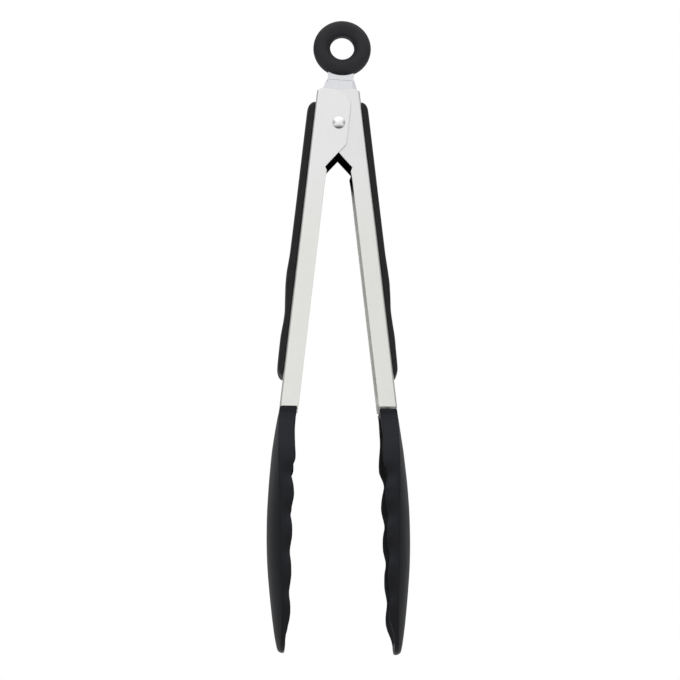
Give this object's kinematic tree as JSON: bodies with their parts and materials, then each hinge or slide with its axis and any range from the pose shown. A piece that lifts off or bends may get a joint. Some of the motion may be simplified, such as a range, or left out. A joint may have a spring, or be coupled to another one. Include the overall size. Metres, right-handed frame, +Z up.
{
  "type": "spring loaded kitchen tongs",
  "caption": "Spring loaded kitchen tongs with channel steel arms, soft grips, scalloped nylon heads and a pull tab with a hanging ring.",
  "frame": {"origin": "middle of the hook hole in the hanging ring", "axes": "+Z up the tongs from the jaws to the ring, Y along the pivot and the hook hole, the jaws open along X"},
  "size_m": [0.0759, 0.0414, 0.3489],
  "materials": {
    "arm_steel": "satin brushed along the arm",
    "tab_steel": "fine satin",
    "rivet_steel": "polished",
    "spring_steel": "drawn wire",
    "ring_rubber": "matte soft-touch",
    "grip_rubber": "matte soft-touch",
    "head_nylon": "satin moulded"
  },
  "bodies": {
    "pull_tab": {"pull_tab": "tab_steel", "hang_ring": "ring_rubber"},
    "pivot": {"pivot_rivet": "rivet_steel", "spacer_tube": "rivet_steel", "torsion_spring": "spring_steel"},
    "left_arm": {"left_arm": "arm_steel", "left_grip": "grip_rubber", "left_head": "head_nylon", "left_head_rivets": "rivet_steel"},
    "right_arm": {"right_arm": "arm_steel", "right_grip": "grip_rubber", "right_head": "head_nylon", "right_head_rivets": "rivet_steel"}
  },
  "joints": [
    {"name": "tab_slide", "type": "slide", "parent": "pull_tab", "child": "pivot", "axis": [-0.0488, 0, -0.9988], "range_m": [0, 0.009]},
    {"name": "left_hinge", "type": "hinge", "parent": "pivot", "child": "left_arm", "pos_m": [-0.00222, 0, -0.04535], "axis": [0, -1, 0], "range_deg": [0, 5.3], "stiffness_Nm_per_rad": 0.75, "springref_deg": -25.78, "deforming": ["torsion_spring"]},
    {"name": "right_hinge", "type": "hinge", "parent": "pivot", "child": "right_arm", "pos_m": [-0.00222, 0, -0.04535], "axis": [0, 1, 0], "range_deg": [0, 5.3], "stiffness_Nm_per_rad": 0.75, "springref_deg": -25.78}
  ],
  "couplings": [
    {"joint": "right_hinge", "follows": "left_hinge", "ratio": 1}
  ]
}
